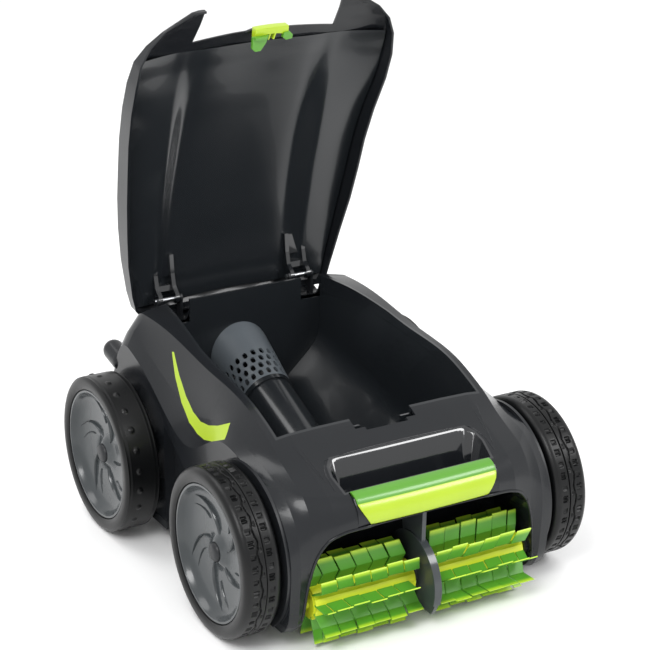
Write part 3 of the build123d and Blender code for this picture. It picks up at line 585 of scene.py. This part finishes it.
# mm: x stations of the grip and its sections (y, z)
stations = [-86.5, -84, -78, -66, -50, -32, -14, 0, 14, 32, 50, 66, 78, 84, 86.5]
bar = [(-227, 148), (-227, 170.5), (-228, 171.5), (-233, 171.2), (-237.5, 169.2), (-240.8, 166.3), (-243, 163),
       (-246, 155.5), (-238, 146)]
trim = [(-238, 146), (-246, 155.5), (-243, 163), (-245.6, 160.4), (-248.2, 156.4), (-249.6, 151.5),
        (-250.2, 146), (-249.6, 141), (-248.6, 139), (-240, 138.2)]
section_loft("handle_bar_skin", bar, stations, handle_warp, green, ["handle_bar"])
section_loft("handle_trim_skin", trim, stations, handle_warp, lime, ["handle_trim"])
cheek = [(-232, 150), (-232, 168), (-238, 167.5), (-242.4, 162.3), (-246.6, 156), (-248.6, 146), (-248, 139.4),
         (-238, 139)]
for side, s in SIDES:
    verts, faces, n = [], [], len(cheek)
    for outer in (False, True):
        for y, z in cheek:
            end = handle_warp(s * 86.5, y, z)[0] + s * 0.0001
            verts.append((s * 0.0879 if outer else end, y / 1000 + SHIFT, z / 1000))
    for k in range(n):
        m = (k + 1) % n
        faces.append((k, m, n + m, n + k))
    faces += [tuple(reversed(range(n))), tuple(range(n, 2 * n))]
    make_piece(f"{side}_handle_cheek", verts, faces, charcoal, "hull", (), 40)

deck = surface_of("front_hood", "left_side_panel", "right_side_panel")


def from_mm(points):
    """Design-frame (x, y) in millimetres to metres in the frame."""
    return [(x / 1000, y / 1000 + SHIFT) for x, y in points]


pocket_edge = rounded([(-100, -223), (-100.5, -201), (-95, -188), (-86.5, -179.6), (86.5, -179.6), (95, -188),
                       (100.5, -201), (100, -223)], 3)
bead("pocket_bead", draped(deck, from_mm(pocket_edge)), 0.0010, charcoal, "charcoal_gloss")
for side, s in SIDES:
    for i, line in enumerate(([(-116, -156), (-103.5, -214)], [(-109, -160), (-103.5, -214)])):
        line = from_mm([(-s * x, y) for x, y in line])
        bead(f"{side}_hood_groove_{i}", draped(deck, line), 0.0006, charcoal, "charcoal_gloss")

nose = surface_of("front_hood", "lower_chassis")
arch = rounded([(147.5, 30), (145, 46), (143.4, 62), (141.4, 77.5), (138, 95), (132.4, 112), (125.2, 123),
                (116.6, 131.6), (92, 138), (0, 139)], 3)
arch = arch + [(-x, z) for x, z in reversed(arch[:-1])]
lip = []
for (ax, az), (bx, bz) in zip(arch, arch[1:]):
    n = max(1, int(math.hypot(bx - ax, bz - az) / 4))
    for i in range(n):
        x, z = (ax + (bx - ax) * i / n) / 1000, (az + (bz - az) * i / n) / 1000
        hit = nose.ray_cast(Vector((x, -0.4, z)), Vector((0, 1, 0)))[0]
        if hit is not None and hit.y < -0.2:
            lip.append(hit)
bead("mouth_bead", lip, 0.0017, charcoal, "charcoal_gloss", sink=0.0)

for i, (x, y, z, r) in enumerate(((-74, -209, 149.5, 6.0), (-60, -212, 149.5, 4.6))):
    boss = [(0.0, 0.0008), (0.0, r / 1000), (0.004, r / 1000), (0.0062, 0.86 * r / 1000),
            (0.0072, 0.6 * r / 1000), (0.0060, 0.3 * r / 1000), (0.0058, 0.0008)]
    verts, faces = lathe(boss, 28, lambda a, b, c: (x / 1000 + b, y / 1000 + SHIFT + c, z / 1000 + a))
    make_piece(f"pocket_boss_{i}", verts, faces, pocket_gloss, "hull", (), 40)


def plan_plate(name, outline, z0, z1, material, body, replaced=(), bevel=0.0006):
    """A plate with an (x, y) outline on the shut lid, between two heights, numbers or functions of x, y."""
    low = z0 if callable(z0) else (lambda x, y: z0)
    high = z1 if callable(z1) else (lambda x, y: z1)
    n = len(outline)
    verts = [opened(x, y, low(x, y)) for x, y in outline] + [opened(x, y, high(x, y)) for x, y in outline]
    faces = [(k, (k + 1) % n, n + (k + 1) % n, n + k) for k in range(n)]
    faces += [tuple(reversed(range(n))), tuple(range(n, 2 * n))]
    return make_piece(name, verts, faces, material, body, replaced, 30, bevel=bevel)


arch_top = [(x, -155.2 + 0.8 * (x / 21) ** 2) for x in range(-21, 22, 3)]
arch_low = [(x, -147.4 + 4.4 * abs(x / 21) ** 2.2) for x in range(21, -22, -3)]
plan_plate("latch_button_skin", arch_top + arch_low, lambda x, y: 203.6 - 1.2 * (1 - (x / 21) ** 2), 212.5,
           lime, "latch", ["latch_lever"])
LATCH_PARTS = [
    ("latch_left_prong", [(-25.4, -146), (-25.4, -132.5), (-21.5, -128.8), (-14.5, -129.2), (-8.5, -138),
                          (-5.5, -147)], 200.5, 204.5),
    ("latch_left_rib", [(-24, -147), (-24, -143.5), (-9, -143.5), (-9, -147)], 197.0, 201.0),
    ("latch_right_prong", [(14, -147.5), (12.5, -142), (17, -138.5), (24.6, -139.5), (25.4, -144),
                           (22, -147.5)], 200.8, 205.5),
]
for name, outline, low, high in LATCH_PARTS:
    plan_plate(name, outline, low, high, green, "latch")
for i, x in enumerate((-3.5, 3.0)):
    outline = [(x, -148.4), (x - 2.2, -140.8), (x - 0.4, -140.6), (x + 1.8, -148.4)]
    plan_plate(f"latch_rib_{i}", outline, 202.2, 209, lime, "latch")
lens = [(x, -147.2 - 4.6 * (1 - (x / 27) ** 2)) for x in range(-27, 28, 3)]
lens += [(x, -145.2) for x in range(27, -28, -6)]
plan_plate("latch_hood", lens, 215.0, 219.4, charcoal, "lid")


# ---- stage --------------------------------------------------------------------------------------------------
def stage_plane():
    bm = bmesh.new()
    bmesh.ops.create_grid(bm, x_segments=1, y_segments=1, size=6.0)
    mesh = bpy.data.meshes.new("floor")
    bm.to_mesh(mesh)
    bm.free()
    obj = bpy.data.objects.new("floor", mesh)
    obj.location.z = -0.0002
    bpy.context.scene.collection.objects.link(obj)
    m = bpy.data.materials.new("floor_white")
    m.use_nodes = True
    bsdf = m.node_tree.nodes["Principled BSDF"]
    bsdf.inputs["Base Color"].default_value = (0.96, 0.96, 0.96, 1.0)
    bsdf.inputs["Roughness"].default_value = 0.6
    mesh.materials.append(m)


def area_light(name, place, aim, size, watts, size_y=None):
    light = bpy.data.lights.new(name, "AREA")
    light.shape = "RECTANGLE"
    light.size, light.size_y = size, size_y or size
    light.energy = watts
    obj = bpy.data.objects.new(name, light)
    obj.location = place
    obj.rotation_euler = (Vector(aim) - Vector(place)).to_track_quat("-Z", "Y").to_euler()
    bpy.context.scene.collection.objects.link(obj)


stage_plane()
area_light("key", (-1.5, -1.3, 2.2), (0, 0, 0.25), 1.0, 34)
area_light("fill", (1.25, -1.5, 1.8), (0, 0, 0.2), 0.7, 20)
area_light("top", (-0.9, 1.0, 2.3), (0, 0, 0.2), 1.2, 14)

world = bpy.data.worlds.new("studio")
world.use_nodes = True
world.node_tree.nodes["Background"].inputs["Color"].default_value = (1.0, 1.0, 1.0, 1.0)
world.node_tree.nodes["Background"].inputs["Strength"].default_value = 1.0
bpy.context.scene.world = world
bpy.context.scene.view_settings.view_transform = "Standard"

camera_data = bpy.data.cameras.new("camera")
camera_data.lens, camera_data.sensor_width = 118.7, 36.0
camera = bpy.data.objects.new("camera", camera_data)
azimuth, elevation = math.radians(-29.62), math.radians(21.20)
back = Vector((math.sin(azimuth) * math.cos(elevation), -math.cos(azimuth) * math.cos(elevation),
               math.sin(elevation)))
camera.location = (-1.1073, -1.9562, 1.1412)
camera.rotation_euler = (-back).to_track_quat("-Z", "Y").to_euler()
bpy.context.scene.collection.objects.link(camera)
bpy.context.scene.camera = camera
